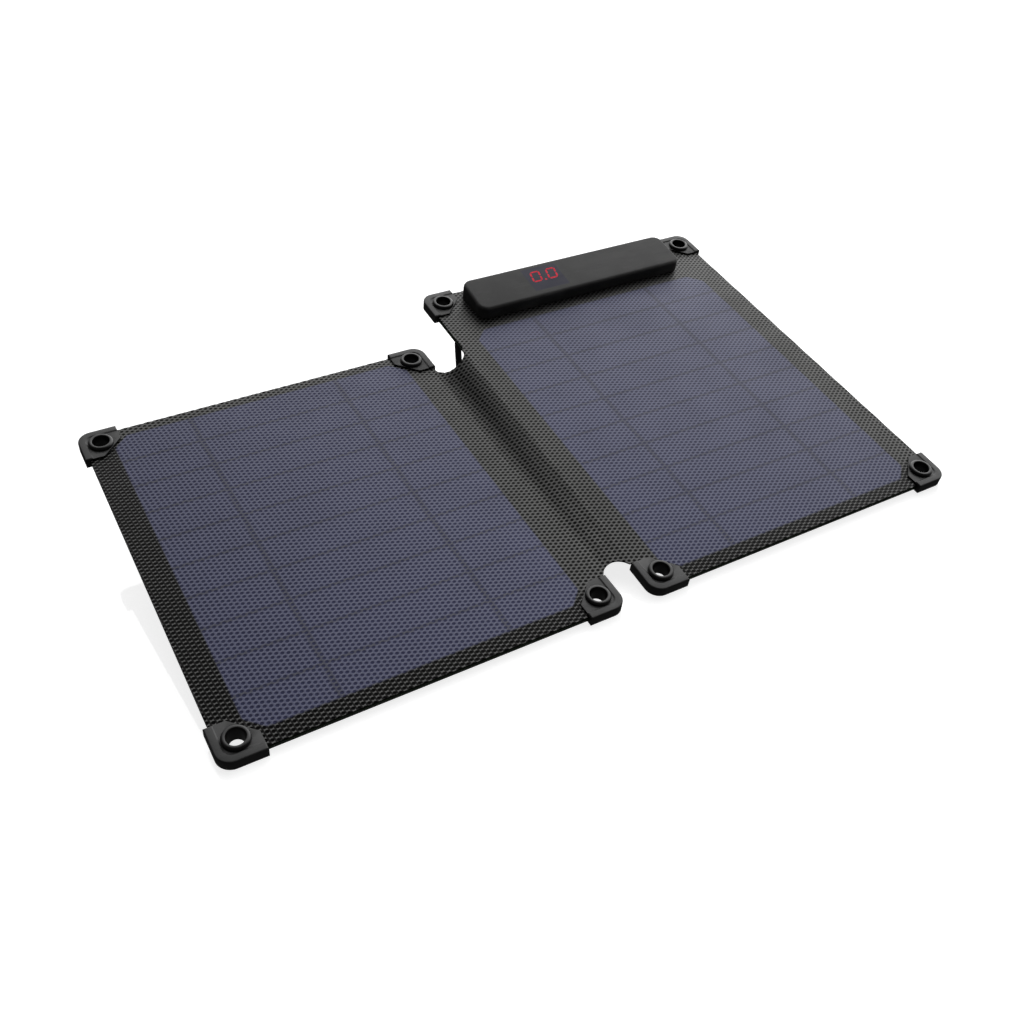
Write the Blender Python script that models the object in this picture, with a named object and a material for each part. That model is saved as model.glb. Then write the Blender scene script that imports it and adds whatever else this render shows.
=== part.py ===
"""Folding two-leaf solar charger, unfolded and standing tilted on its two wire stands.

Each leaf is a thin laminate (front sheet, cell strips, board, back sheet) whose four corners
are wrapped by moulded guards with eyelets. A fabric web joins the leaves and is the fold line.
The right leaf also carries the controller box on its far edge, so it is deeper than the left.
"""
import math

import bmesh
import bpy
from mathutils import Matrix, Vector

# Everything is in millimetres here and is scaled to metres as meshes are made.
MM = 0.001

# ---- Leaf frame: X across, Y away from the user, Z out of the front, Z = 0 at the eyelet tops.
EYELET_SPAN = 134.0             # between the two eyelet columns of a leaf
LEFT_DEPTH = 151.6              # near eyelet row to far eyelet row, left leaf
RIGHT_DEPTH = 175.5             # the same on the right leaf, which carries the controller
HALF_FOLD = 13.8                # fold line to the nearest eyelet column
SHEET_MARGIN = 6.2              # eyelet centre to the sheet's edge
SHEET_CORNER = 4.0              # sheet corner radius
TILT_RIGHT = math.radians(15.05)
TILT_LEFT = math.radians(12.55)
HINGE_RISE = 0.3                # fold axis above the eyelet tops, so the leaves close flat

# ---- Laminate levels (top, bottom), front to back.
FRONT_Z = (-2.0, -2.4)
RIBBON_Z = (-2.5, -2.6)
CELL_Z = (-2.7, -2.9)
BOARD_Z = (-3.0, -3.7)
BACK_Z = (-3.8, -4.2)
EASE = 0.15                     # gap kept between neighbouring surfaces

# ---- Corner guards and eyelets.
GUARD_REACH = 8.0               # eyelet centre to the guard's outer edges
GUARD_SIDE = 15.7
GUARD_INNER_EDGE = 7.35         # the short edges each side of the diagonal
GUARD_CORNER = 5.5
GUARD_TOP = -0.93
GUARD_BOTTOM = -4.98
GUARD_PLATEAU = -1.3            # floor of the shallow recess around the eyelet
GUARD_LIP = 2.6                 # width of the raised lip along the outer edges
GUARD_ROUND = 0.5
EYELET_BORE = 3.2               # at the crown; the bore narrows towards the back
EYELET_FOOT_BORE = 2.6
EYELET_TUBE = 3.7
EYELET_FLANGE = 4.8
EYELET_FOOT = (-5.13, -5.7)     # upper and lower face of the back flange
EYELET_HOLE = EYELET_TUBE + 0.25

# ---- Cells.
CELL_COUNT = 10
CELL_PITCH = 15.35
CELL_GAP = 0.5
BLOCK_WIDTH = 125.5
BLOCK_CHAMFER = 8.0
LEFT_BLOCK_X = -HALF_FOLD - EYELET_SPAN + 4.2
LEFT_BLOCK_Y = 0.4
RIGHT_BLOCK_X = HALF_FOLD + 3.0
RIGHT_BLOCK_Y = -0.6
RIBBON_WIDTH = 1.4
RIBBON_PLACES = (0.25, 0.75)    # across the block's width

# ---- Fold web.
WEB_HALF = HALF_FOLD - SHEET_MARGIN - EASE
WEB_NEAR = (12.0, 6.2)          # crown of the near notch above the near eyelet row, and its radius
WEB_FAR = (LEFT_DEPTH - 14.9, 6.9)
WEB_SHOULDER = 5.7              # half width of the near notch, where it meets the guards
WEB_THICKNESS = 0.8
WEB_COLUMNS = 10
WEB_ROWS = 12

# ---- Controller box.
BOX_X = (24.6, 136.2)
BOX_Y = (158.4, 180.0)
BOX_TOP = (3.65, 5.15)          # front and back height of the sloping top
BOX_CORNER = 4.6
BOX_ROUND = 1.2
BOX_WALL = 1.3
TUB_X = (32.0, 129.0)
TUB_Y = 165.0
TUB_TOP = -2.1
TUB_WALL = 1.2
BASE_PLATE_X = (27.0, 134.3)
BASE_PLATE_Y = 160.4
BASE_Z = (-4.95, -4.35)         # underside and upper face of the base plate
TUB_FLOOR = -4.15
PCB_X = (36.0, 125.0)
PCB_Y = (167.0, 178.5)
PCB_Z = (-4.0, -3.2)
DISPLAY = ((56.0, 77.0), (166.6, 176.0), (-3.1, 2.3))
INDUCTOR = (47.0, 172.5, 3.4)   # centre and radius
INDUCTOR_Z = (-3.1, 0.1)
USB_A = dict(x=108.0, width=13.1, z=(-3.1, 2.5), y=166.6, wall=0.35)
USB_C = dict(x=90.0, width=9.0, z=(-3.1, 0.2), y=172.0, wall=0.35)

# ---- Wire stands: a bent wire with its two ends held in clips under the leaf.
WIRE = 1.5                      # radius
STAND_BEND = 4.0
STAND_PIN = 7.0                 # length of the inturned ends
PIVOT_Z = -6.4
RIGHT_STAND = dict(x=(10.5, 138.5), y=154.0)
LEFT_STAND = dict(x=(-138.5, -10.5), y=131.0)
CLIP_WIDTH = 5.0
CLIP_HALF_DEPTH = 3.6
CLIP_Z = (-8.6, -4.35)
CLIP_BORE = WIRE + 0.2

TURN = 24                       # facets round an eyelet
ARC = 5                         # facets round a quarter turn of an outline


# ---------------------------------------------------------------- materials

def material(name, colour, roughness, metallic=0.0):
    mat = bpy.data.materials.new(name)
    mat.use_nodes = True
    shader = mat.node_tree.nodes["Principled BSDF"]
    shader.inputs["Base Color"].default_value = (*colour, 1.0)
    shader.inputs["Roughness"].default_value = roughness
    shader.inputs["Metallic"].default_value = metallic
    mat.diffuse_color = (*colour, 1.0)
    return mat


def make_materials():
    return {
        "textured_film": material("textured_film", (0.045, 0.045, 0.043), 0.45),
        "backing": material("backing", (0.03, 0.03, 0.03), 0.7),
        "glass_fibre": material("glass_fibre", (0.05, 0.09, 0.05), 0.6),
        "silicon": material("silicon", (0.05, 0.055, 0.12), 0.25),
        "ribbon": material("ribbon", (0.25, 0.25, 0.26), 0.35, 0.9),
        "rubber": material("rubber", (0.02, 0.02, 0.02), 0.55),
        "black_metal": material("black_metal", (0.025, 0.025, 0.025), 0.35, 0.4),
        "housing": material("housing", (0.025, 0.025, 0.025), 0.6),
        "display": material("display", (0.15, 0.01, 0.02), 0.4),
        "circuit": material("circuit", (0.02, 0.10, 0.04), 0.5),
        "steel": material("steel", (0.55, 0.55, 0.56), 0.3, 1.0),
    }


# ---------------------------------------------------------------- outlines and solids

def rounded(points):
    """A closed outline from (x, y, radius) corners, each corner a tangent arc."""
    outline = []
    count = len(points)
    for i, (x, y, radius) in enumerate(points):
        corner = Vector((x, y))
        if radius == 0:
            outline.append(tuple(corner))
            continue
        before = (Vector(points[i - 1][:2]) - corner).normalized()
        after = (Vector(points[(i + 1) % count][:2]) - corner).normalized()
        half = before.angle(after) / 2
        reach = radius / math.tan(half)
        centre = corner + (before + after).normalized() * (radius / math.sin(half))
        start = corner + before * reach - centre
        end = corner + after * reach - centre
        sweep = start.angle_signed(end)
        steps = max(2, round(abs(sweep) / (math.pi / 2) * ARC))
        for k in range(steps + 1):
            turned = start.copy()
            turned.rotate(Matrix.Rotation(-sweep * k / steps, 2))
            outline.append(tuple(centre + turned))
    return outline


def circle(x, y, radius, steps=TURN):
    angles = [2 * math.pi * k / steps for k in range(steps)]
    return [(x + radius * math.cos(a), y + radius * math.sin(a)) for a in angles]


def rectangle(x, y, radius=0.0):
    return rounded([(x[0], y[0], radius), (x[1], y[0], radius),
                    (x[1], y[1], radius), (x[0], y[1], radius)])


def prism(outline, low, high, holes=()):
    """A bmesh of the outline, less its holes, between two levels. A level is a number or f(y)."""
    bm = bmesh.new()
    for loop in (outline, *holes):
        verts = [bm.verts.new((x * MM, y * MM, 0.0)) for x, y in loop]
        for a, b in zip(verts, verts[1:] + verts[:1]):
            bm.edges.new((a, b))
    bmesh.ops.triangle_fill(bm, edges=bm.edges[:], use_beauty=True, normal=(0, 0, 1))
    bmesh.ops.dissolve_limit(bm, angle_limit=0.001, verts=bm.verts[:], edges=bm.edges[:])
    base = bm.faces[:]
    raised = bmesh.ops.extrude_face_region(bm, geom=base)["geom"]
    top = {v for v in raised if isinstance(v, bmesh.types.BMVert)}
    for vert in bm.verts:
        level = high if vert in top else low
        vert.co.z = MM * (level(vert.co.y / MM) if callable(level) else level)
    bmesh.ops.recalc_face_normals(bm, faces=bm.faces[:])
    return bm


def round_top(bm, width, segments, level):
    """Bevels the edges of the top face, which all lie above the given level."""
    top = [e for e in bm.edges if min(v.co.z for v in e.verts) > level * MM]
    rim = [e for e in top if any(abs(f.normal.z) < 0.5 for f in e.link_faces)]
    bmesh.ops.bevel(bm, geom=rim, offset=width * MM, segments=segments, affect="EDGES", profile=0.5)


def turned(profile, steps=TURN):
    """A ring turned about Z from a closed (radius, z) profile."""
    bm = bmesh.new()
    rings = []
    for k in range(steps):
        a = 2 * math.pi * k / steps
        rings.append([bm.verts.new((r * math.cos(a) * MM, r * math.sin(a) * MM, z * MM))
                      for r, z in profile])
    for ring, following in zip(rings, rings[1:] + rings[:1]):
        for j in range(len(profile)):
            i = j - 1
            bm.faces.new((ring[i], following[i], following[j], ring[j]))
    bmesh.ops.recalc_face_normals(bm, faces=bm.faces[:])
    return bm


def mesh_from(bm, name, smooth_angle=None):
    mesh = bpy.data.meshes.new(name)
    bm.to_mesh(mesh)
    bm.free()
    if smooth_angle:
        mesh.shade_smooth()
        mesh.set_sharp_from_angle(angle=smooth_angle)
    return mesh


def cut(body, *cutters):
    """The mesh of one bmesh less others, by exact Boolean modifiers that are then applied."""
    scene = bpy.context.scene
    solid = bpy.data.objects.new("solid", mesh_from(body, "solid"))
    scene.collection.objects.link(solid)
    tools = []
    for operation, tool_mesh in cutters:
        tool = bpy.data.objects.new("tool", mesh_from(tool_mesh, "tool"))
        scene.collection.objects.link(tool)
        tools.append(tool)
        step = solid.modifiers.new("step", "BOOLEAN")
        step.operation = operation
        step.solver = "EXACT"
        step.object = tool
    evaluated = solid.evaluated_get(bpy.context.evaluated_depsgraph_get())
    result = bpy.data.meshes.new_from_object(evaluated)
    for item in (solid, *tools):
        bpy.data.objects.remove(item)
    return result


# ---------------------------------------------------------------- scene helpers

def add(name, data, parent, mat, place=(0, 0, 0), turn=0.0):
    data = data.copy() if data.users else data
    data.name = name
    data.materials.clear()
    data.materials.append(mat)
    obj = bpy.data.objects.new(name, data)
    bpy.context.scene.collection.objects.link(obj)
    obj.parent = parent
    obj.location = Vector(place) * MM
    obj.rotation_euler.z = turn
    return obj


def add_empty(name, parent=None, place=(0, 0, 0), tilt=0.0):
    empty = bpy.data.objects.new(name, None)
    bpy.context.scene.collection.objects.link(empty)
    empty.parent = parent
    empty.location = Vector(place) * MM
    empty.rotation_euler.x = tilt
    return empty


# ---------------------------------------------------------------- the pieces

def eyelet_places(side):
    """(name, x, y, turn) of a leaf's four corners; the turn points the guard outwards."""
    depth = RIGHT_DEPTH if side > 0 else LEFT_DEPTH
    inner, outer = side * HALF_FOLD, side * (HALF_FOLD + EYELET_SPAN)
    quarter = math.pi / 2
    if side > 0:
        return [("far_inner", inner, depth, quarter), ("far_outer", outer, depth, 0.0),
                ("near_inner", inner, 0.0, 2 * quarter), ("near_outer", outer, 0.0, 3 * quarter)]
    return [("far_inner", inner, depth, 0.0), ("far_outer", outer, depth, quarter),
            ("near_inner", inner, 0.0, 3 * quarter), ("near_outer", outer, 0.0, 2 * quarter)]


def sheet_outline(side):
    """The leaf's outline; the right leaf has a bay in its far edge for the controller."""
    inner = HALF_FOLD - SHEET_MARGIN
    outer = HALF_FOLD + EYELET_SPAN + SHEET_MARGIN
    r = SHEET_CORNER
    near = -SHEET_MARGIN
    if side < 0:
        far = LEFT_DEPTH + SHEET_MARGIN
        return rectangle((-outer, -inner), (near, far), r)
    far = RIGHT_DEPTH + SHEET_MARGIN
    bay = (TUB_X[0] - 0.5, TUB_X[1] + 0.5, TUB_Y - 0.5)
    return rounded([(inner, near, r), (outer, near, r), (outer, far, r), (bay[1], far, 0),
                    (bay[1], bay[2], 0), (bay[0], bay[2], 0), (bay[0], far, 0), (inner, far, r)])


def add_laminate(side, label, parent, mats):
    holes = [circle(x, y, EYELET_HOLE) for _, x, y, _ in eyelet_places(side)]
    layers = (("front_sheet", FRONT_Z, "textured_film"), ("stiffener_board", BOARD_Z, "glass_fibre"),
              ("back_sheet", BACK_Z, "backing"))
    for name, (high, low), mat in layers:
        bm = prism(sheet_outline(side), low, high, holes)
        add(f"{label}_{name}", mesh_from(bm, name), parent, mats[mat])


def add_cells(side, label, parent, mats):
    x0 = RIGHT_BLOCK_X if side > 0 else LEFT_BLOCK_X
    y0 = RIGHT_BLOCK_Y if side > 0 else LEFT_BLOCK_Y
    x1 = x0 + BLOCK_WIDTH
    height = CELL_PITCH - CELL_GAP
    for i in range(CELL_COUNT):
        low = y0 + i * CELL_PITCH
        high = low + height
        c = BLOCK_CHAMFER
        if i == 0:
            outline = [(x0 + c, low), (x1 - c, low), (x1, low + c), (x1, high), (x0, high), (x0, low + c)]
        elif i == CELL_COUNT - 1:
            outline = [(x0, low), (x1, low), (x1, high - c), (x1 - c, high), (x0 + c, high), (x0, high - c)]
        else:
            outline = [(x0, low), (x1, low), (x1, high), (x0, high)]
        bm = prism(outline, CELL_Z[1], CELL_Z[0])
        add(f"{label}_cell_{i + 1:02d}", mesh_from(bm, "cell"), parent, mats["silicon"])
    top = y0 + (CELL_COUNT - 1) * CELL_PITCH + height
    for name, share in zip("ab", RIBBON_PLACES):
        middle = x0 + share * BLOCK_WIDTH
        strip = rectangle((middle - RIBBON_WIDTH / 2, middle + RIBBON_WIDTH / 2), (y0, top))
        bm = prism(strip, RIBBON_Z[1], RIBBON_Z[0])
        add(f"{label}_cell_ribbon_{name}", mesh_from(bm, "ribbon"), parent, mats["ribbon"])


def guard_mesh():
    """A corner guard about its eyelet's axis, with its outer corner towards +X +Y."""
    e, side, inner = GUARD_REACH, GUARD_SIDE, GUARD_INNER_EDGE
    body = prism(rounded([(e, e, GUARD_CORNER), (e - side, e, 0), (e - side, e - inner, 0),
                          (e - inner, e - side, 0), (e, e - side, 0)]), GUARD_BOTTOM, GUARD_TOP)
    round_top(body, GUARD_ROUND, 3, GUARD_TOP - 0.1)
    slot = SHEET_MARGIN + EASE
    away = -2 * side
    sheet_slot = prism(rounded([(slot, slot, SHEET_CORNER + EASE), (away, slot, 0), (away, away, 0),
                                (slot, away, 0)]), BACK_Z[1] - EASE, FRONT_Z[0] + EASE)
    lip = e - GUARD_LIP
    recess = prism(rounded([(lip, lip, GUARD_CORNER - 2), (away, lip, 0), (away, away, 0),
                            (lip, away, 0)]), GUARD_PLATEAU, 1.0)
    bore = prism(circle(0, 0, EYELET_HOLE), GUARD_BOTTOM - 1, 1.0)
    return cut(body, ("DIFFERENCE", sheet_slot), ("DIFFERENCE", recess), ("DIFFERENCE", bore))


def eyelet_mesh():
    """A turned eyelet: a rounded flange on the front, a tube, and a flat flange on the back."""
    mid = (EYELET_BORE + EYELET_FLANGE) / 2
    half = (EYELET_FLANGE - EYELET_BORE) / 2
    crown = [(mid + half * math.cos(a), -0.55 + 0.55 * math.sin(a))
             for a in (math.pi * k / 4 for k in range(5))]
    under, foot = EYELET_FOOT
    profile = [(EYELET_FLANGE, GUARD_PLATEAU + EASE)] + crown
    profile += [(EYELET_FOOT_BORE, foot), (EYELET_FLANGE - 0.2, foot), (EYELET_FLANGE - 0.2, under),
                (EYELET_TUBE, under), (EYELET_TUBE, GUARD_PLATEAU + EASE)]
    return mesh_from(turned(profile), "eyelet", math.radians(40))


def add_corners(side, label, parent, mats, guard, eyelet):
    for corner, x, y, turn in eyelet_places(side):
        add(f"{label}_guard_{corner}", guard, parent, mats["rubber"], (x, y, 0), turn)
        add(f"{label}_eyelet_{corner}", eyelet, parent, mats["black_metal"], (x, y, 0))


def web_ends(x):
    """The near and far limits of the web at x, with a round notch at each end."""
    (near_crown, near_radius), (far_crown, far_radius) = WEB_NEAR, WEB_FAR
    inner = min(abs(x), WEB_SHOULDER)
    near = near_crown - near_radius + math.sqrt(near_radius ** 2 - inner ** 2)
    inner = min(abs(x), far_radius)
    return near, far_crown + far_radius - math.sqrt(far_radius ** 2 - inner ** 2)


def web_drop(x, y):
    """How far the web hangs below the right leaf's plane, to meet the left leaf's plane."""
    t = (WEB_HALF - x) / (2 * WEB_HALF)
    return (y + GUARD_REACH) * math.sin(TILT_RIGHT - TILT_LEFT) * t * t * (3 - 2 * t)


def add_fold_web(parent, mats):
    """The fabric between the leaves: a thin strip that twists from one leaf's tilt to the other's."""
    bm = bmesh.new()
    columns = [WEB_HALF * math.sin(math.pi / 2 * (2 * k / WEB_COLUMNS - 1)) for k in range(WEB_COLUMNS + 1)]
    layers = []
    for depth in (0.0, WEB_THICKNESS):
        grid = []
        for x in columns:
            near, far = web_ends(x)
            ys = [near + (far - near) * k / WEB_ROWS for k in range(WEB_ROWS + 1)]
            grid.append([bm.verts.new((x * MM, y * MM, (FRONT_Z[0] - web_drop(x, y) - depth) * MM))
                         for y in ys])
        layers.append(grid)
    top, bottom = layers
    for grid in layers:
        for a, b in zip(grid, grid[1:]):
            for k in range(WEB_ROWS):
                bm.faces.new((a[k], b[k], b[k + 1], a[k + 1]))
    rims = [([c[end] for c in top], [c[end] for c in bottom]) for end in (0, -1)]
    rims += [(top[end], bottom[end]) for end in (0, -1)]
    for high, low in rims:
        for k in range(len(high) - 1):
            bm.faces.new((high[k], high[k + 1], low[k + 1], low[k]))
    bmesh.ops.recalc_face_normals(bm, faces=bm.faces[:])
    add("fold_web", mesh_from(bm, "fold_web", math.radians(40)), parent, mats["textured_film"])


def box_top(inset=0.0):
    slope = (BOX_TOP[1] - BOX_TOP[0]) / (BOX_Y[1] - BOX_Y[0])
    return lambda y: BOX_TOP[0] + slope * (y - BOX_Y[0]) - inset


def port_holes():
    """Cutters for the holes in the far wall that the sockets look out of."""
    holes = []
    for socket in (USB_A, USB_C):
        half = socket["width"] / 2 + EASE
        low, high = socket["z"]
        outline = rectangle((socket["x"] - half, socket["x"] + half), (BOX_Y[1] - 3, BOX_Y[1] + 3))
        holes.append(("DIFFERENCE", prism(outline, low - EASE, high + EASE)))
    return holes


def add_controller(parent, mats):
    body = prism(rectangle(BOX_X, BOX_Y, BOX_CORNER), FRONT_Z[0] + EASE, box_top())
    round_top(body, BOX_ROUND, 4, BOX_TOP[0] - 0.1)
    w = BOX_WALL
    room = prism(rectangle((BOX_X[0] + w, BOX_X[1] - w), (BOX_Y[0] + w, BOX_Y[1] - w), BOX_CORNER - w),
                 FRONT_Z[0] - 1, box_top(w))
    cover = cut(body, ("DIFFERENCE", room), *port_holes())
    add("controller_cover", cover, parent, mats["housing"])

    plate = prism(rectangle(BASE_PLATE_X, (BASE_PLATE_Y, BOX_Y[1]), 2.0), *BASE_Z)
    tub = prism(rectangle(TUB_X, (TUB_Y, BOX_Y[1] - 0.01)), BASE_Z[0] + 0.01, TUB_TOP)
    w = TUB_WALL
    hollow = prism(rectangle((TUB_X[0] + w, TUB_X[1] - w), (TUB_Y + w, BOX_Y[1] - w)), TUB_FLOOR, 1.0)
    base = cut(plate, ("UNION", tub), ("DIFFERENCE", hollow), *port_holes())
    add("controller_base", base, parent, mats["housing"])

    pcb = prism(rectangle(PCB_X, PCB_Y), *PCB_Z)
    add("circuit_board", mesh_from(pcb, "circuit_board"), parent, mats["circuit"])
    x, y, z = DISPLAY
    add("display_module", mesh_from(prism(rectangle(x, y, 0.8), *z), "display"), parent, mats["display"])
    cx, cy, radius = INDUCTOR
    coil = prism(circle(cx, cy, radius, 20), *INDUCTOR_Z)
    add("converter_inductor", mesh_from(coil, "inductor"), parent, mats["black_metal"])
    for name, socket in (("usb_a_socket", USB_A), ("usb_c_socket", USB_C)):
        add(name, socket_mesh(socket), parent, mats["steel"])


def socket_mesh(socket):
    """A metal shell open towards the far side, closed at the back."""
    half, wall = socket["width"] / 2, socket["wall"]
    low, high = socket["z"]
    x0, x1 = socket["x"] - half, socket["x"] + half
    shell = prism(rectangle((x0, x1), (socket["y"], BOX_Y[1] - 0.05)), low, high)
    mouth = prism(rectangle((x0 + wall, x1 - wall), (socket["y"] + 4.0, BOX_Y[1] + 2)),
                  low + wall, high - wall)
    return cut(shell, ("DIFFERENCE", mouth))


def wire_route(x0, x1, leg):
    """The stand's centre line: inturned end, leg, foot, leg, inturned end."""
    b = STAND_BEND
    corners = [(x0 + STAND_PIN, 0), (x0, 0), (x0, -leg), (x1, -leg), (x1, 0), (x1 - STAND_PIN, 0)]
    route = [corners[0]]
    for before, corner, after in zip(corners, corners[1:], corners[2:]):
        c = Vector(corner)
        back = (Vector(before) - c).normalized()
        on = (Vector(after) - c).normalized()
        r = b if abs(c.y) > 1 else WIRE + 0.1
        centre = c + (back + on) * r
        for k in range(7):
            a = math.pi / 2 * k / 6
            route.append(tuple(centre - on * r * math.cos(a) - back * r * math.sin(a)))
    route.append(corners[-1])
    return [(x, 0.0, z) for x, z in route]


def add_stand(label, stand, frame, tilt, mats):
    """The wire stand, on an empty on its pivot, and the two clips that hold it."""
    pivot = add_empty(f"{label}_stand_pivot", frame, (0, stand["y"], PIVOT_Z), -tilt)
    height = (stand["y"] + GUARD_REACH) * math.sin(tilt) + (PIVOT_Z - GUARD_BOTTOM) * math.cos(tilt)
    leg = height - WIRE
    curve = bpy.data.curves.new(f"{label}_stand", "CURVE")
    curve.dimensions = "3D"
    curve.bevel_depth = WIRE * MM
    curve.bevel_resolution = 2
    curve.use_fill_caps = True
    spline = curve.splines.new("POLY")
    route = wire_route(*stand["x"], leg)
    spline.points.add(len(route) - 1)
    for point, place in zip(spline.points, route):
        point.co = (*(Vector(place) * MM), 1.0)
    add(f"{label}_stand", curve, pivot, mats["black_metal"])
    x0, x1 = stand["x"]
    offset = STAND_PIN - CLIP_WIDTH / 2 - 0.2
    for name, x in (("a", x0 + offset), ("b", x1 - offset)):
        add(f"{label}_stand_clip_{name}", clip_mesh(), frame, mats["rubber"], (x, stand["y"], 0))


def clip_mesh():
    """A block under the back sheet, bored along X for the stand's inturned end."""
    w, d = CLIP_WIDTH / 2, CLIP_HALF_DEPTH
    section = rounded([(-d, CLIP_Z[1], 0), (-d, CLIP_Z[0], 1.6), (d, CLIP_Z[0], 1.6), (d, CLIP_Z[1], 0)])
    bm = prism(section, -w, w, [circle(0, PIVOT_Z, CLIP_BORE, 16)])
    bm.transform(Matrix(((0, 0, 1, 0), (1, 0, 0, 0), (0, 1, 0, 0), (0, 0, 0, 1))))
    return mesh_from(bm, "clip")


# ---------------------------------------------------------------- assembly

def centre_on_floor(top, nodes):
    """Moves the whole model so that the origin is at the middle of the bottom of its box."""
    graph = bpy.context.evaluated_depsgraph_get()
    corners = []
    for obj in nodes:
        evaluated = obj.evaluated_get(graph)
        mesh = evaluated.to_mesh()
        corners += [evaluated.matrix_world @ v.co for v in mesh.vertices]
        evaluated.to_mesh_clear()
    low = [min(c[i] for c in corners) for i in range(3)]
    high = [max(c[i] for c in corners) for i in range(3)]
    top.location = Vector(((low[0] + high[0]) / -2, (low[1] + high[1]) / -2, -low[2]))


def main():
    for obj in list(bpy.data.objects):
        bpy.data.objects.remove(obj)
    mats = make_materials()
    top = add_empty("solar_charger")
    right = add_empty("right_leaf_frame", top, (0, 0, 0), TILT_RIGHT)
    # The left leaf hangs from an empty on the fold axis, turned by the leaves' difference in tilt.
    hinge = (0, -GUARD_REACH, HINGE_RISE)
    fold = add_empty("fold_axis", right, hinge, TILT_LEFT - TILT_RIGHT)
    left = add_empty("left_leaf_frame", fold, (0, GUARD_REACH, -HINGE_RISE))

    guard = guard_mesh()
    eyelet = eyelet_mesh()
    for side, label, frame in ((-1, "left", left), (1, "right", right)):
        add_laminate(side, label, frame, mats)
        add_cells(side, label, frame, mats)
        add_corners(side, label, frame, mats, guard, eyelet)
    add_fold_web(right, mats)
    add_controller(right, mats)
    add_stand("right", RIGHT_STAND, right, TILT_RIGHT, mats)
    add_stand("left", LEFT_STAND, left, TILT_LEFT, mats)
    bpy.context.view_layer.update()
    centre_on_floor(top, [o for o in bpy.data.objects if o.type != "EMPTY"])
    bpy.context.view_layer.update()


main()
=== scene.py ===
"""The looks of the folding two-leaf solar charger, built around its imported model.

The front films and the fabric between the leaves are embossed in real geometry; guards, eyelets,
stands, clips and the controller's cover are rebuilt with their soft edges; everything else keeps
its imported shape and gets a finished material.
"""
import math

import bmesh
import bpy
import numpy as np
from mathutils import Matrix, Vector
from mathutils.geometry import delaunay_2d_cdt


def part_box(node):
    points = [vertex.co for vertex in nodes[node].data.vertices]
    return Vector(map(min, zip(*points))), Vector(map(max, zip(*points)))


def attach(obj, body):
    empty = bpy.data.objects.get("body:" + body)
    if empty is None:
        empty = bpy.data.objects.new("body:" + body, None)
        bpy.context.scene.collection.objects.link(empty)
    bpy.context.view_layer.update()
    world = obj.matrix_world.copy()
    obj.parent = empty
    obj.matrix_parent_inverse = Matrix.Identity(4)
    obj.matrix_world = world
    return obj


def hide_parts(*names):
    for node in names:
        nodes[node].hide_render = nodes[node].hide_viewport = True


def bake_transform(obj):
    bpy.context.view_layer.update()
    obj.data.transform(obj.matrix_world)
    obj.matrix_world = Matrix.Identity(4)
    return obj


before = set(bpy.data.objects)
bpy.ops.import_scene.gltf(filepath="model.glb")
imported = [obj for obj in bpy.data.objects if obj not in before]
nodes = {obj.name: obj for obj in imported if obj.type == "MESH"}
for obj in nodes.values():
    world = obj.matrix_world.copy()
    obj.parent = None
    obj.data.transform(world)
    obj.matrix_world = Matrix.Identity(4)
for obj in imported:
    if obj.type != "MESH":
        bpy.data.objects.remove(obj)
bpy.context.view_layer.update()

# Lengths are millimetres in a leaf's own frame: X across, Y away, Z out of the front, with the
# fold line at X = 0, the near eyelets at Y = 0 and the eyelets' tops at Z = 0.
MM = 0.001

# ---- The leaves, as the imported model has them.
EYELET_SPAN = 134.0
DEPTH = {"left": 151.6, "right": 175.5}
HALF_FOLD = 13.8
SHEET_MARGIN = 6.2
SHEET_CORNER = 4.0
EASE = 0.15                     # gap kept between neighbouring surfaces
TILT = {"left": math.radians(12.55), "right": math.radians(15.05)}
FILM_TOP, FILM_UNDER = -2.0, -2.4
EYELET_HOLE = 3.95
BAY = (31.5, 129.5, 164.5)      # the cut in the right leaf's far edge, for the controller
BLOCK = {"left": (-143.6, 0.4), "right": (16.8, -0.6)}
BLOCK_WIDTH = 125.5
SEEN_CHAMFER = 6.0              # of the cell block, as it shows through the film
CELL_COUNT = 10
CELL_PITCH = 15.35
CELL_GAP = 0.5
RIBBON_PLACES = (0.25, 0.75)    # across the block's width

# ---- The embossing: rows of oval pits in a centred lattice, turned a little from the leaf.
PIT_STEP = 1.80                 # along a column of pits
COLUMN_STEP = 1.79              # from column to column; every other one is half a step up
LATTICE_TURN = math.radians(5.4)
PIT_DEPTH = 0.26
PIT_EDGE = (0.10, 0.44)         # where a ridge ends and a pit is fully dark, as shares of its depth
UPRIGHT_PAINTED_SHADE = 0.42             # how dark the ridges between columns are painted, as shade
# The pits' black: partly their own dark, partly painted shade of these hollows.
PIT_BLACK_AND_PAINTED_SHADE = (0.0015, 0.0015, 0.0015)
CELL_PIT_PAINTED_SHADE = 0.9             # painted shade in the pits over the cells: how far their highlight is taken away

# ---- Painted shade on the near and the left margins, where the embossing looks darker: the pits are drawn wider there, and the ridges between columns darker.
PAINTED_SHADE_MARGIN_PIT_EDGE = (0.07, 0.34)
PAINTED_SHADE_MARGIN_UPRIGHTS = 0.95
PAINTED_SHADE_MARGIN_NEAR = (2.0, 8.0)           # y over which the near margin ends
PAINTED_SHADE_MARGIN_LEFT = (-145.0, -138.0)     # x over which the left margin ends

# ---- Mesh steps of the embossed sheets.
LATTICE_PARTS = 3               # mesh points along each side of a lattice cell
EDGE_STEP = 0.7                 # mesh points along an outline

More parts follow.
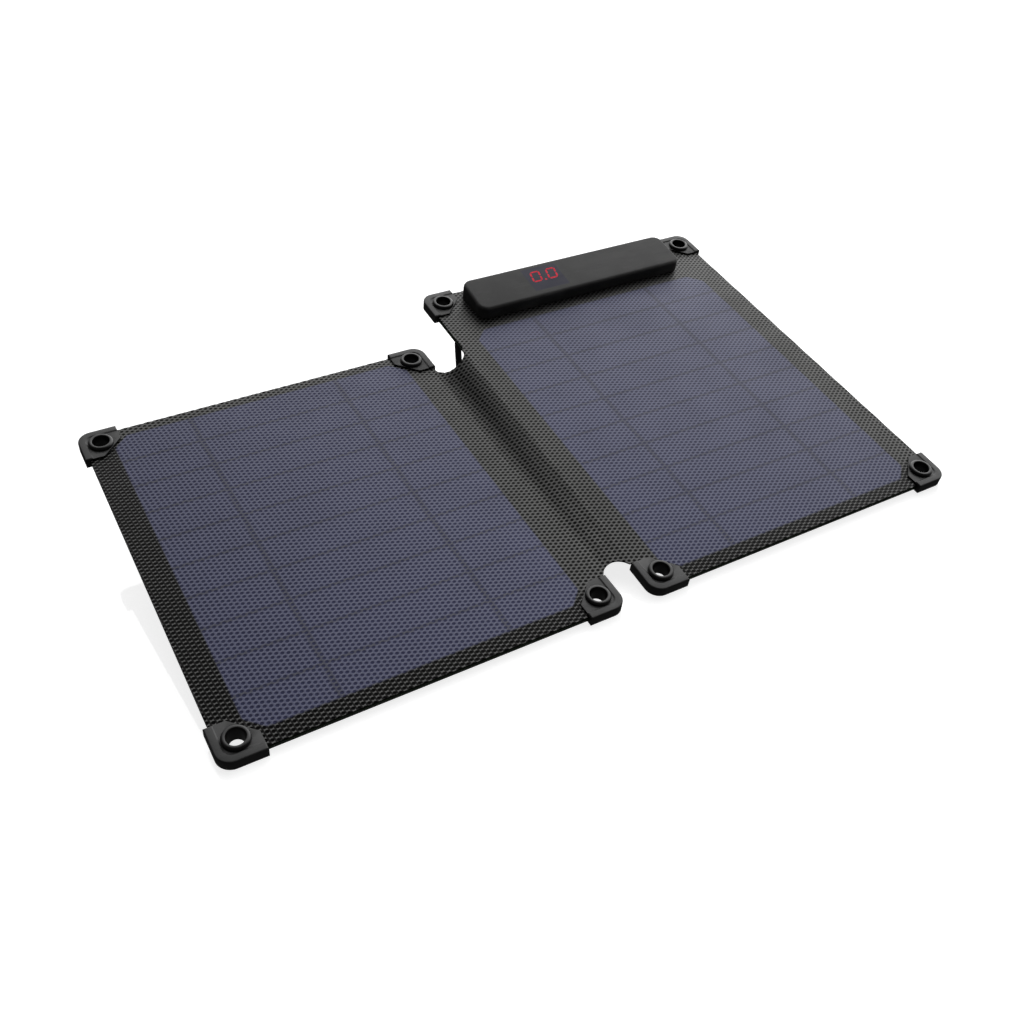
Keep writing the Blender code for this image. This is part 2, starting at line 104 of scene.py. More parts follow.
# ---- Corner guards and eyelets.
GUARD_REACH = 8.0               # eyelet centre to the guard's outer edges
GUARD_SIDE = 15.7
GUARD_INNER_EDGE = 7.35
GUARD_CORNER = 5.5
GUARD_TOP, GUARD_BOTTOM = -0.93, -4.98
GUARD_PLATEAU = -1.3            # floor of the shallow recess around the eyelet
GUARD_LIP = 2.6                 # width of the raised lip along the outer edges
GUARD_SLOPE = 0.5               # width of the slope from the lip down to the plateau
GUARD_RECESS_KEY = 0.4          # height above the plateau at which the slope is at the lip's width
GUARD_ROUND = 0.55              # rounding of the outer top edges
GUARD_SOFT = 0.2                # rounding of every other edge
SLOT = (-4.35, -1.85)           # the slot that takes the laminate
EYELET_BORE = 3.2               # at the crown; it narrows towards the back
EYELET_FOOT_BORE = 2.6
EYELET_FOOT = (-5.13, -5.7)     # upper and lower face of the back flange
EYELET_TUBE = 3.7
EYELET_FLANGE = 4.8
EYELET_OUTER_ROUND = 1.0
EYELET_INNER_ROUND = 0.4
EYELET_FOOT_ROUND = 0.2
EYELET_FOOT_FLANGE = 4.6
EYELET_STEPS = 72
GUARD_BORE = 4.05

# ---- Controller.
BOX_X = (24.6, 136.2)
BOX_Y = (158.4, 180.0)
BOX_TOP = (3.65, 5.15)          # front and back height of the sloping top
BOX_BOTTOM = -1.85
BOX_CORNER = 4.6
BOX_ROUND = 1.5
ROUND_STEPS = 8
BOX_WALL = 1.3
PORTS = ((108.0, 13.1, -3.1, 2.5), (90.0, 9.0, -3.1, 0.2))   # middle, width, bottom and top
PORT_CORNER = 1.2
WINDOW = ((55.0, 73.5), (162.0, 177.4))                      # of the display, in x and y
DIGIT_HEIGHT = 6.4
DIGIT_WIDTH = 4.4
DIGIT_SLANT = math.tan(math.radians(11))
DIGIT_STROKE = 0.85
DIGIT_PLACES = (57.5, 66.0)
DIGIT_BASE = 168.1
DIGIT_GAP = 0.18                # between neighbouring bars
DIGIT_DEPTH, DIGIT_RISE = 0.15, 0.012   # below and above the lid's top
POINT_RADIUS = 0.5

# ---- Wire stands and their clips.
WIRE = 1.5                      # radius
WIRE_SIDES = 20
STAND_BEND = 4.0
STAND_PIN = 7.0                 # length of the inturned ends
PIVOT_Z = -6.4
END_SHRINK = 0.75               # the wire's ends are chamfered to this share of its radius
STAND = {"left": (-138.5, -10.5, 131.0), "right": (10.5, 138.5, 154.0)}   # x of each leg, and y
CLIP_WIDTH = 5.0
CLIP_HALF_DEPTH = 3.6
CLIP_Z = (-8.6, -4.35)
CLIP_CORNER = 1.6
CLIP_SOFT = 0.3
CLIP_BORE = WIRE + 0.2

# ---- The studio's light: where it comes from, and how it falls off away from there.
LIGHT_FROM = (50.0, 32.0)       # azimuth from +Y towards +X, and elevation
LIGHT_PEAK = 3.0
LIGHT_REST = 0.06               # from everywhere else
LIGHT_EDGE = 0.2                # cosine at which the broad light ends
LIGHT_FOCUS = 2.4
FLOOR_REACH = 6.0               # metres
FLOOR_DROP = 0.00005            # metres below the feet, so that nothing lies in its plane

# ---- The fabric between the leaves.
WEB_HALF = 7.6
WEB_WAVE = 0.06                 # height of the soft waves along the fabric
WEB_WAVELENGTH = 7.6
WEB_DRIFT = (0.9, 27.0)         # how far, and over what length, the waves wander
WEB_COLUMNS = 32
WEB_NEAR = (12.0, 6.2)          # crown of the notch, and its radius
WEB_FAR = (136.7, 6.9)
WEB_SHOULDER = 5.7              # half width of the near notch, where it meets the guards
WEB_THICKNESS = 0.6


# ---------------------------------------------------------------- frames

def leaf_matrix(label):
    """The leaf's own frame in the model's, from the near lower edge of its front sheet."""
    low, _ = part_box(f"{label}_front_sheet")
    tilt = TILT[label]
    y = low.y + MM * (SHEET_MARGIN * math.cos(tilt) + FILM_TOP * math.sin(tilt))
    z = low.z + MM * (SHEET_MARGIN * math.sin(tilt) - FILM_UNDER * math.cos(tilt))
    return Matrix.Translation((0, y, z)) @ Matrix.Rotation(tilt, 4, "X") @ Matrix.Scale(MM, 4)


LEAF = {label: leaf_matrix(label) for label in ("left", "right")}


# ---------------------------------------------------------------- shader helpers

class Shader:
    """A small builder for node materials."""

    def __init__(self, name, colour=(0.5, 0.5, 0.5), **values):
        self.material = bpy.data.materials.new(name)
        self.material.use_nodes = True
        self.tree = self.material.node_tree
        self.bsdf = self.tree.nodes["Principled BSDF"]
        self.bsdf.inputs["Base Color"].default_value = (*colour, 1.0)
        for key, value in values.items():
            self.bsdf.inputs[key.replace("_", " ")].default_value = value

    def link(self, value, socket):
        """Sets a socket from another socket or from a plain value."""
        if isinstance(value, bpy.types.NodeSocket):
            self.tree.links.new(value, socket)
        elif value is not None:
            socket.default_value = value

    def node(self, kind, inputs=(), output=0, **settings):
        made = self.tree.nodes.new(kind)
        for key, value in settings.items():
            setattr(made, key, value)
        for key, value in dict(inputs).items():
            self.link(value, made.inputs[key])
        return made.outputs[output]

    def math(self, operation, a, b=None, c=None):
        made = self.tree.nodes.new("ShaderNodeMath")
        made.operation = operation
        for socket, value in zip(made.inputs, (a, b, c)):
            self.link(value, socket)
        return made.outputs[0]

    def ramp(self, value, low, high, start=0.0, end=1.0):
        """start below low, end above high, and smooth between."""
        return self.node("ShaderNodeMapRange", {"Value": value, "From Min": low, "From Max": high,
                                                "To Min": start, "To Max": end},
                         interpolation_type="SMOOTHSTEP")

    def mix(self, factor, a, b):
        made = self.tree.nodes.new("ShaderNodeMix")
        made.data_type = "RGBA"
        self.link(factor, made.inputs[0])
        for socket, value in ((made.inputs[6], a), (made.inputs[7], b)):
            self.link((*value, 1.0) if isinstance(value, tuple) else value, socket)
        return made.outputs[2]

    def place(self):
        return self.node("ShaderNodeTexCoord", output=3)

    def noise(self, scale, detail=2.0, roughness=0.5, vector=None):
        return self.node("ShaderNodeTexNoise", {"Vector": vector or self.place(), "Scale": scale,
                                                "Detail": detail, "Roughness": roughness})

    def bump(self, height, distance, strength=1.0):
        normal = self.node("ShaderNodeBump", {"Height": height, "Distance": distance,
                                              "Strength": strength})
        self.link(normal, self.bsdf.inputs["Normal"])

    def set(self, name, value):
        self.link(value, self.bsdf.inputs[name])


def leaf_place(s):
    """The X and Y sockets of a point in its leaf's frame, in millimetres, from the leaf UV map."""
    uv = s.node("ShaderNodeUVMap", uv_map="leaf")
    parts = s.tree.nodes.new("ShaderNodeSeparateXYZ")
    s.link(uv, parts.inputs[0])
    return parts.outputs[0], parts.outputs[1]


def pit_mask(s, x, y, edge=PIT_EDGE, upright=UPRIGHT_PAINTED_SHADE):
    """1 in the pits and 0 on the ridges, from three crossed gratings.

    The ridges that run up between the columns lie a little lower, and are painted part way to dark as
    shade.
    """
    c, n = math.cos(LATTICE_TURN), math.sin(LATTICE_TURN)
    across = s.math("ADD", s.math("MULTIPLY", x, c), s.math("MULTIPLY", y, n))
    along = s.math("SUBTRACT", s.math("MULTIPLY", y, c), s.math("MULTIPLY", x, n))
    half = s.math("MULTIPLY", across, math.pi / COLUMN_STEP)
    up = s.math("MULTIPLY", along, 2 * math.pi / PIT_STEP)
    waves = [s.math("COSINE", s.math("MULTIPLY", half, 2.0)),
             s.math("COSINE", s.math("ADD", up, half)),
             s.math("COSINE", s.math("SUBTRACT", up, half))]
    total = s.math("ADD", s.math("ADD", waves[0], waves[1]), waves[2])
    depth = s.math("MULTIPLY", s.math("ADD", total, 1.5), 1 / 4.5)
    return s.math("MAXIMUM", s.ramp(depth, *edge), s.ramp(waves[0], -1.0, 0.3, upright, 0.0))


def box_mask(s, value, low, high, soft):
    """1 between low and high, 0 outside, with soft edges."""
    return s.math("MULTIPLY", s.ramp(value, low - soft, low + soft),
                  s.ramp(value, high - soft, high + soft, 1.0, 0.0))


# ---------------------------------------------------------------- materials

def film_material(label):
    """Dark embossed film. Over the cells it is clear enough to show their blue and their gaps."""
    s = Shader(f"{label}_film", Roughness=0.42)
    x, y = leaf_place(s)
    in_pit = pit_mask(s, x, y)
    # Painted shade on the near and the left margins, outside the cells: wider pits and darker ridges
    # between columns, fading in towards those edges.
    painted_shade_pits = pit_mask(s, x, y, PAINTED_SHADE_MARGIN_PIT_EDGE, PAINTED_SHADE_MARGIN_UPRIGHTS)
    rim = s.math("MAXIMUM", s.ramp(y, *PAINTED_SHADE_MARGIN_NEAR, 1.0, 0.0), s.ramp(x, *PAINTED_SHADE_MARGIN_LEFT, 1.0, 0.0))

    x0, y0 = BLOCK[label]
    width, height = BLOCK_WIDTH, CELL_COUNT * CELL_PITCH - CELL_GAP
    dx = s.math("ABSOLUTE", s.math("SUBTRACT", x, x0 + width / 2))
    dy = s.math("ABSOLUTE", s.math("SUBTRACT", y, y0 + height / 2))
    inside = s.math("MULTIPLY", s.ramp(dx, width / 2 - 0.5, width / 2 + 0.4, 1.0, 0.0),
                    s.ramp(dy, height / 2 - 0.5, height / 2 + 0.4, 1.0, 0.0))
    diagonal = (width + height) / 2 - SEEN_CHAMFER
    inside = s.math("MULTIPLY", inside,
                    s.ramp(s.math("ADD", dx, dy), diagonal - 0.7, diagonal + 0.5, 1.0, 0.0))

    row = s.math("MODULO", s.math("ADD", y, CELL_COUNT * CELL_PITCH - y0 + CELL_GAP / 2),
                 CELL_PITCH)
    off_row = s.math("MINIMUM", row, s.math("SUBTRACT", CELL_PITCH, row))
    gap = s.ramp(off_row, 0.35, 1.05, 1.0, 0.0)
    for share in RIBBON_PLACES:
        off = s.math("ABSOLUTE", s.math("SUBTRACT", x, x0 + share * width))
        gap = s.math("MAXIMUM", gap, s.ramp(off, 0.6, 1.6, 0.9, 0.0))

    cloud = s.noise(60.0, 3.0)
    # The margins' painted shade stays off the cells, and elsewhere takes the place of the plain pits.
    rim = s.math("MULTIPLY", rim, s.math("SUBTRACT", 1.0, inside))
    in_pit = s.math("MULTIPLY_ADD", rim, s.math("SUBTRACT", painted_shade_pits, in_pit), in_pit)
    # The pits' colours, here and over the cells, are partly their own dark and partly painted shade.
    margin = s.mix(in_pit, (0.066, 0.066, 0.063), PIT_BLACK_AND_PAINTED_SHADE)
    ridge = s.mix(s.ramp(cloud, 0.35, 0.65), (0.072, 0.078, 0.148), (0.083, 0.089, 0.160))
    ridge = s.mix(s.math("MULTIPLY", gap, 0.72), ridge, (0.020, 0.020, 0.025))
    cell = s.mix(in_pit, ridge, (0.016, 0.017, 0.038))
    s.set("Base Color", s.mix(inside, margin, cell))
    s.set("Roughness", s.ramp(cloud, 0.3, 0.7, 0.38, 0.46))
    # Painted shade in the pits: a dark metal has no highlight of its own colour, so the pits stay as dark
    # as real shaded ones.
    s.set("Metallic", s.math("MULTIPLY", in_pit, s.math("MULTIPLY_ADD", inside, CELL_PIT_PAINTED_SHADE - 1.0, 1.0)))
    return s.material


def web_material():
    """The same embossing as the films, in black fabric."""
    s = Shader("fold_fabric", Roughness=0.45)
    x, y = leaf_place(s)
    in_pit = pit_mask(s, x, y)
    # The pits are painted black and lose their highlight: painted shade of the hollows, partly their own
    # dark.
    s.set("Base Color", s.mix(in_pit, (0.085, 0.085, 0.081), PIT_BLACK_AND_PAINTED_SHADE))
    s.set("Metallic", in_pit)
    s.set("Roughness", s.ramp(s.noise(90.0), 0.3, 0.7, 0.40, 0.50))
    return s.material


def moulded_material(name, colour, rough, grain=1400.0, depth=0.00003):
    """Moulded black plastic or rubber with a fine spark-eroded grain."""
    s = Shader(name, colour)
    fine = s.noise(grain, 2.0, 0.6)
    broad = s.noise(110.0, 3.0)
    lighter = tuple(c * 1.45 + 0.002 for c in colour)
    s.set("Base Color", s.mix(s.ramp(broad, 0.35, 0.7), colour, lighter))
    s.set("Roughness", s.ramp(broad, 0.3, 0.7, rough - 0.05, rough + 0.05))
    s.bump(fine, depth, 0.6)
    return s.material


def housing_material():
    """Soft-touch black with faint scuffs, and a bluish window where the figures show through."""
    s = Shader("controller_housing", Specular_IOR_Level=0.3)
    x, y = leaf_place(s)
    stretch = s.node("ShaderNodeMapping", {"Vector": s.place(), "Rotation": (0.0, 0.0, 0.6),
                                           "Scale": (40.0, 260.0, 150.0)})
    streak = s.noise(1.0, 3.0, 0.6, stretch)
    blotch = s.noise(70.0, 4.0, 0.55)
    scuff = s.math("MULTIPLY", s.ramp(streak, 0.50, 0.66), s.ramp(blotch, 0.40, 0.60))
    body = s.mix(s.ramp(blotch, 0.3, 0.75), (0.034, 0.034, 0.034), (0.050, 0.050, 0.049))
    body = s.mix(s.math("MULTIPLY", scuff, 0.6), body, (0.085, 0.085, 0.085))
    window = s.math("MULTIPLY", box_mask(s, x, *WINDOW[0], 0.5), box_mask(s, y, *WINDOW[1], 0.5))
    s.set("Base Color", s.mix(s.math("MULTIPLY", window, 0.65), body, (0.020, 0.020, 0.058)))
    s.set("Roughness", s.ramp(scuff, 0.0, 1.0, 0.62, 0.72))
    s.bump(s.noise(2600.0, 2.0), 0.00002, 0.5)
    return s.material


def figures_material():
    """Red figures, a little uneven, as light looks through a thin black wall."""
    s = Shader("display_red", (0.02, 0.002, 0.003), Roughness=0.6, Specular_IOR_Level=0.1)
    glow = s.ramp(s.noise(900.0, 2.0), 0.3, 0.7)
    s.set("Emission Color", s.mix(glow, (0.36, 0.010, 0.022), (0.62, 0.018, 0.040)))
    s.bsdf.inputs["Emission Strength"].default_value = 1.0
    return s.material


def backing_material():
    """Black woven backing: a plain weave of fine yarns."""
    s = Shader("backing_weave", Roughness=0.75)
    parts = s.tree.nodes.new("ShaderNodeSeparateXYZ")
    s.link(s.place(), parts.inputs[0])
    turn = 2 * math.pi / 0.0007
    warp = s.math("SINE", s.math("MULTIPLY", parts.outputs[0], turn))
    weft = s.math("SINE", s.math("MULTIPLY", parts.outputs[1], turn))
    weave = s.math("MULTIPLY", warp, weft)
    s.set("Base Color", s.mix(s.ramp(weave, -1.0, 1.0), (0.008, 0.008, 0.008), (0.022, 0.022, 0.022)))
    s.bump(weave, 0.00008, 0.8)
    return s.material


def silicon_material():
    """Blue-black cells with fine pale fingers across them."""
    s = Shader("silicon_cell", Coat_Weight=0.3)
    grain = s.noise(500.0, 3.0)
    parts = s.tree.nodes.new("ShaderNodeSeparateXYZ")
    s.link(s.place(), parts.inputs[0])
    finger = s.math("FRACT", s.math("MULTIPLY", parts.outputs[0], 1 / 0.0016))
    blue = s.mix(grain, (0.006, 0.009, 0.035), (0.012, 0.018, 0.060))
    s.set("Base Color", s.mix(s.ramp(finger, 0.90, 0.94, 0.0, 0.6), blue, (0.30, 0.30, 0.32)))
    s.set("Roughness", s.ramp(grain, 0.3, 0.7, 0.22, 0.34))
    return s.material


def plain_noise_material(name, dark, light, rough, scale, metallic=0.0):
    """A hard material whose tone and polish vary a little."""
    s = Shader(name, Metallic=metallic)
    grain = s.noise(scale, 4.0, 0.6)
    s.set("Base Color", s.mix(s.ramp(grain, 0.35, 0.65), dark, light))
    s.set("Roughness", s.ramp(grain, 0.3, 0.7, rough - 0.06, rough + 0.06))
    s.bump(grain, 0.00002, 0.4)
    return s.material


def dress_nodes(mats):
    """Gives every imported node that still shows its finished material."""
    plain = plain_noise_material
    finishes = {
        "back_sheet": backing_material(),
        "stiffener_board": plain("glass_fibre", (0.030, 0.050, 0.028), (0.050, 0.080, 0.045), 0.55, 700.0),
        "cell_ribbon": plain("tinned_ribbon", (0.42, 0.42, 0.43), (0.6, 0.6, 0.6), 0.35, 900.0, 1.0),
        "cell_": silicon_material(),
        "circuit_board": plain("solder_mask", (0.008, 0.060, 0.020), (0.015, 0.095, 0.035), 0.4, 420.0),
        "display_module": plain("display_case", (0.05, 0.004, 0.006), (0.09, 0.006, 0.010), 0.4, 300.0),
        "converter_inductor": plain("ferrite", (0.02, 0.02, 0.022), (0.045, 0.045, 0.048), 0.6, 800.0),
        "socket": plain("nickel", (0.45, 0.44, 0.42), (0.62, 0.61, 0.58), 0.28, 700.0, 1.0),
        "controller_base": mats["rubber"],
    }
    for name, node in nodes.items():
        if node.hide_render:
            continue
        finish = next(mat for key, mat in finishes.items() if key in name)
        node.data.materials.clear()
        node.data.materials.append(finish)


# ---------------------------------------------------------------- outlines

def rounded(points, facets):
    """A closed outline from (x, y, radius) corners, each a tangent arc with so many facets a quarter."""
    outline = []
    count = len(points)
    for i, (x, y, radius) in enumerate(points):
        corner = Vector((x, y))
        if radius == 0:
            outline.append(corner)
            continue
        before = (Vector(points[i - 1][:2]) - corner).normalized()
        after = (Vector(points[(i + 1) % count][:2]) - corner).normalized()
        half = before.angle(after) / 2
        centre = corner + (before + after).normalized() * (radius / math.sin(half))
        start = corner + before * (radius / math.tan(half)) - centre
        end = corner + after * (radius / math.tan(half)) - centre
        sweep = start.angle_signed(end)
        steps = max(2, round(abs(sweep) / (math.pi / 2) * facets))
        for k in range(steps + 1):
            turned = start.copy()
            turned.rotate(Matrix.Rotation(-sweep * k / steps, 2))
            outline.append(centre + turned)
    return outline


def rectangle(x, y, radius, facets=8):
    """A rectangle between two x and two y values, with rounded corners."""
    return rounded([(x[0], y[0], radius), (x[1], y[0], radius),
                    (x[1], y[1], radius), (x[0], y[1], radius)], facets)


def circle(x, y, radius, steps):
    """A closed circle of so many points."""
    angles = [2 * math.pi * k / steps for k in range(steps)]
    return [Vector((x + radius * math.cos(a), y + radius * math.sin(a))) for a in angles]


def divided(outline, step):
    """The outline with points added so that none are much further apart than step.

    Along Y they fall on whole steps, so that two sheets that share an edge share its points.
    """
    fine = []
    for a, b in zip(outline, outline[1:] + outline[:1]):
        run = b - a
        if abs(run.x) < 1e-6 and abs(run.y) > 2 * step:
            low, high = sorted((a.y, b.y))
            first, final = math.ceil(low / step + 0.3), math.floor(high / step - 0.3)
            stops = [(k * step - a.y) / run.y for k in range(first, final + 1)]
            fine += [a] + [a.lerp(b, t) for t in sorted(stops)]
            continue
        parts = max(1, math.ceil(run.length / step))
        fine += [a.lerp(b, k / parts) for k in range(parts)]
    return fine


def inside(points, outline):
    """Which of the points, an array of x and y, lie inside the outline."""
    x, y = points[:, 0], points[:, 1]
    result = np.zeros(len(points), bool)
    for a, b in zip(outline, outline[1:] + outline[:1]):
        if a.y == b.y:
            continue
        crosses = (a.y > y) != (b.y > y)
        result ^= crosses & (x < (b.x - a.x) * (y - a.y) / (b.y - a.y) + a.x)
    return result


def distance_to(points, outline):
    """Each point's distance to the outline."""
    nearest = np.full(len(points), np.inf)
    for a, b in zip(outline, outline[1:] + outline[:1]):
        start, run = np.array(a), np.array(b - a)
        t = np.clip((points - start) @ run / (run @ run), 0, 1)
        off = points - start - t[:, None] * run
        nearest = np.minimum(nearest, np.hypot(off[:, 0], off[:, 1]))
    return nearest


# ---------------------------------------------------------------- solids

def prism(outline, low, high, holes=()):
    """A bmesh of the outline, less its holes, between two levels. A level is a number or f(y)."""
    bm = bmesh.new()
    for loop in (outline, *holes):
        verts = [bm.verts.new((p.x, p.y, 0.0)) for p in loop]
        for a, b in zip(verts, verts[1:] + verts[:1]):
            bm.edges.new((a, b))
    bmesh.ops.triangle_fill(bm, edges=bm.edges[:], use_beauty=True, normal=(0, 0, 1))
    bmesh.ops.dissolve_limit(bm, angle_limit=0.001, verts=bm.verts[:], edges=bm.edges[:])
    raised = bmesh.ops.extrude_face_region(bm, geom=bm.faces[:])["geom"]
    top = {v for v in raised if isinstance(v, bmesh.types.BMVert)}
    for vert in bm.verts:
        level = high if vert in top else low
        vert.co.z = level(vert.co.y) if callable(level) else level
    bmesh.ops.recalc_face_normals(bm, faces=bm.faces[:])
    return bm


def loft(loops):
    """A closed bmesh through loops of equally many points, the first and last of them capped."""
    bm = bmesh.new()
    rings = [[bm.verts.new(p) for p in loop] for loop in loops]
    for lower, upper in zip(rings, rings[1:]):
        for k in range(len(lower)):
            bm.faces.new((lower[k - 1], lower[k], upper[k], upper[k - 1]))
    bm.faces.new(rings[0][::-1])
    bm.faces.new(rings[-1])
    bmesh.ops.recalc_face_normals(bm, faces=bm.faces[:])
    return bm


def turned(profile, steps):
    """A ring turned about Z from a closed (radius, z) profile."""
    bm = bmesh.new()
    rings = []
    for k in range(steps):
        a = 2 * math.pi * k / steps
        rings.append([bm.verts.new((r * math.cos(a), r * math.sin(a), z)) for r, z in profile])
    for ring, following in zip(rings, rings[1:] + rings[:1]):
        for j in range(len(profile)):
            bm.faces.new((ring[j - 1], following[j - 1], following[j], ring[j]))
    bmesh.ops.recalc_face_normals(bm, faces=bm.faces[:])
    return bm


def arc(centre, radius, start, end, steps):
    """Points (r, z) along an arc, from one angle to another in degrees."""
    angles = [math.radians(start + (end - start) * k / steps) for k in range(steps + 1)]
    return [(centre[0] + radius * math.cos(a), centre[1] + radius * math.sin(a)) for a in angles]


def link(mesh, name):
    obj = bpy.data.objects.new(name, mesh)
    bpy.context.scene.collection.objects.link(obj)
    return obj


def to_mesh(bm, name):
    """A mesh from a finished bmesh, which is freed."""
    mesh = bpy.data.meshes.new(name)
    bm.to_mesh(mesh)
    bm.free()
    return mesh


def shaped(body, cutters=(), bevel=0.0):
    """The mesh of a bmesh less its cutters, its remaining sharp edges rounded."""
    solid = link(to_mesh(body, "solid"), "solid")
    tools = [link(to_mesh(cutter, "tool"), "tool") for cutter in cutters]
    for tool in tools:
        step = solid.modifiers.new("cut", "BOOLEAN")
        step.operation, step.solver, step.object = "DIFFERENCE", "EXACT", tool
    if bevel:
        step = solid.modifiers.new("round", "BEVEL")
        step.width, step.segments = bevel, 3
        step.limit_method, step.angle_limit = "ANGLE", math.radians(30)
        step.use_clamp_overlap = True
    graph = bpy.context.evaluated_depsgraph_get()
    mesh = bpy.data.meshes.new_from_object(solid.evaluated_get(graph))
    for item in (solid, *tools):
        bpy.data.objects.remove(item)
    return mesh


def add_piece(name, mesh, label, mat, replaces=(), place=(0, 0, 0), turn=0.0):
    """Puts a mesh made in millimetres on a leaf, with a UV map of its place on that leaf."""
    mesh.transform(Matrix.Translation(place) @ Matrix.Rotation(turn, 4, "Z"))
    uv = mesh.uv_layers.get("leaf") or mesh.uv_layers.new(name="leaf")
    for loop, data in zip(mesh.loops, uv.data):
        data.uv = mesh.vertices[loop.vertex_index].co.xy
    mesh.transform(LEAF[label])
    mesh.name = name
    mesh.shade_smooth()
    mesh.set_sharp_from_angle(angle=math.radians(35))
    mesh.materials.clear()
    mesh.materials.append(mat)
    obj = link(mesh, name)
    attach(obj, f"{label}_leaf")
    if replaces:
        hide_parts(*replaces)


# ---------------------------------------------------------------- embossed sheets

def lattice_axes():
    """The two steps of the pit lattice."""
    turn = np.array(((math.cos(LATTICE_TURN), -math.sin(LATTICE_TURN)),
                     (math.sin(LATTICE_TURN), math.cos(LATTICE_TURN))))
    return turn @ (COLUMN_STEP, PIT_STEP / 2), turn @ (0.0, PIT_STEP)


def lattice_points(low, high):
    """Mesh points that follow the pit lattice, over the box from low to high."""
    a, b = (axis / LATTICE_PARTS for axis in lattice_axes())
    basis = np.array((a, b)).T
    corners = np.array([(x, y) for x in (low[0], high[0]) for y in (low[1], high[1])])
    steps = np.linalg.solve(basis, corners.T).T
    first, last = np.floor(steps.min(0)).astype(int), np.ceil(steps.max(0)).astype(int)
    i, j = np.meshgrid(np.arange(first[0], last[0] + 1), np.arange(first[1], last[1] + 1))
    return np.stack((i.ravel(), j.ravel()), 1) @ basis.T


def pit_height(points):
    """The embossing's height at each point: 0 on the ridges, -PIT_DEPTH in the pits."""
    c, n = math.cos(LATTICE_TURN), math.sin(LATTICE_TURN)
    half = (points[:, 0] * c + points[:, 1] * n) * math.pi / COLUMN_STEP
    up = (points[:, 1] * c - points[:, 0] * n) * 2 * math.pi / PIT_STEP
    total = np.cos(2 * half) + np.cos(up + half) + np.cos(up - half)
    return -PIT_DEPTH * (np.maximum(total + 1.5, 0.0) / 4.5) ** 1.2


def embossed_sheet(name, outline, holes, top, under, matrix, mat):
    """A thin closed sheet whose upper face is embossed. top and under give levels for points."""
    loops = [divided(outline, EDGE_STEP)] + [divided(hole, EDGE_STEP) for hole in holes]
    edge = np.array([p for loop in loops for p in loop])
    lattice = lattice_points(edge.min(0), edge.max(0))
    keep = inside(lattice, loops[0]) & (distance_to(lattice, outline) > EDGE_STEP / 4)
    for hole in holes:
        keep &= ~inside(lattice, hole) & (distance_to(lattice, hole) > EDGE_STEP / 4)
    flat = np.concatenate((edge, lattice[keep]))
    ring, start = [], 0
    for loop in loops:
        count = len(loop)
        ring += [(start + k, start + (k + 1) % count) for k in range(count)]
        start += count
    found = delaunay_2d_cdt([Vector(p) for p in flat], ring, [], 1, 1e-7)
    flat = np.array([tuple(p) for p in found[0]])
    faces = np.array(found[2])
    middle = flat[faces].mean(1)
    for hole in holes:
        faces, middle = faces[~inside(middle, hole)], middle[~inside(middle, hole)]

    lower = delaunay_2d_cdt([Vector(p) for p in edge], ring, [], 1, 1e-7)
    below = np.array([tuple(p) for p in lower[0]])
    floor = np.array(lower[2])
    middle = below[floor].mean(1)
    for hole in holes:
        floor, middle = floor[~inside(middle, hole)], middle[~inside(middle, hole)]

    count = len(flat)
    verts = np.concatenate((np.column_stack((flat, top(flat))),
                            np.column_stack((below, under(below)))))
    walls = [(b, a, count + a, count + b) for a, b in ring]
    polygons = [tuple(f) for f in faces] + [tuple(count + i for i in f[::-1]) for f in floor] + walls
    mesh = bpy.data.meshes.new(name)
    mesh.from_pydata([tuple(matrix @ Vector(v)) for v in verts], [], polygons)
    uv = mesh.uv_layers.new(name="leaf")
    corners = np.zeros(len(mesh.loops), np.int32)
    mesh.loops.foreach_get("vertex_index", corners)
    uv.data.foreach_set("uv", verts[corners, :2].astype(np.float32).ravel())
    mesh.shade_smooth()
    mesh.set_sharp_from_angle(angle=math.radians(60))
    mesh.materials.append(mat)
    return link(mesh, name)


def eyelet_places(label):
    """The name, x, y and turn of a leaf's four corners; the turn points its guard outwards."""
    side = -1 if label == "left" else 1
    inner, outer, far = side * HALF_FOLD, side * (HALF_FOLD + EYELET_SPAN), DEPTH[label]
    corners = [("far_inner", inner, far), ("far_outer", outer, far),
               ("near_inner", inner, 0.0), ("near_outer", outer, 0.0)]
    quarters = (1, 0, 2, 3) if side > 0 else (0, 1, 3, 2)
    return [(*corner, q * math.pi / 2) for corner, q in zip(corners, quarters)]


def film_outline(label):
    """The outline of one leaf's film."""
    inner, outer = HALF_FOLD - SHEET_MARGIN, HALF_FOLD + EYELET_SPAN + SHEET_MARGIN
    near, far, r = -SHEET_MARGIN, DEPTH[label] + SHEET_MARGIN, SHEET_CORNER
    if label == "left":
        return rectangle((-outer, -inner), (near, far), r)
    return rounded([(inner, near, r), (outer, near, r), (outer, far, r), (BAY[1], far, 0),
                    (BAY[1], BAY[2], 0), (BAY[0], BAY[2], 0), (BAY[0], far, 0), (inner, far, r)], 8)


def make_film(label):
    """The embossed front film of one leaf."""
    holes = [circle(x, y, EYELET_HOLE, 24) for _, x, y, _ in eyelet_places(label)]
    film = embossed_sheet(f"{label}_film", film_outline(label), holes,
                          lambda p: FILM_TOP + pit_height(p),
                          lambda p: np.full(len(p), FILM_UNDER), LEAF[label], film_material(label))
    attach(film, f"{label}_leaf")
    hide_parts(f"{label}_front_sheet")


def web_ends(x):
    """The near and far limits of the fabric at x, with a round notch at each end."""
    inner = min(abs(x), WEB_SHOULDER)
    near = WEB_NEAR[0] - WEB_NEAR[1] + math.sqrt(WEB_NEAR[1] ** 2 - inner ** 2)
    inner = min(abs(x), WEB_FAR[1])
    return near, WEB_FAR[0] + WEB_FAR[1] - math.sqrt(WEB_FAR[1] ** 2 - inner ** 2)


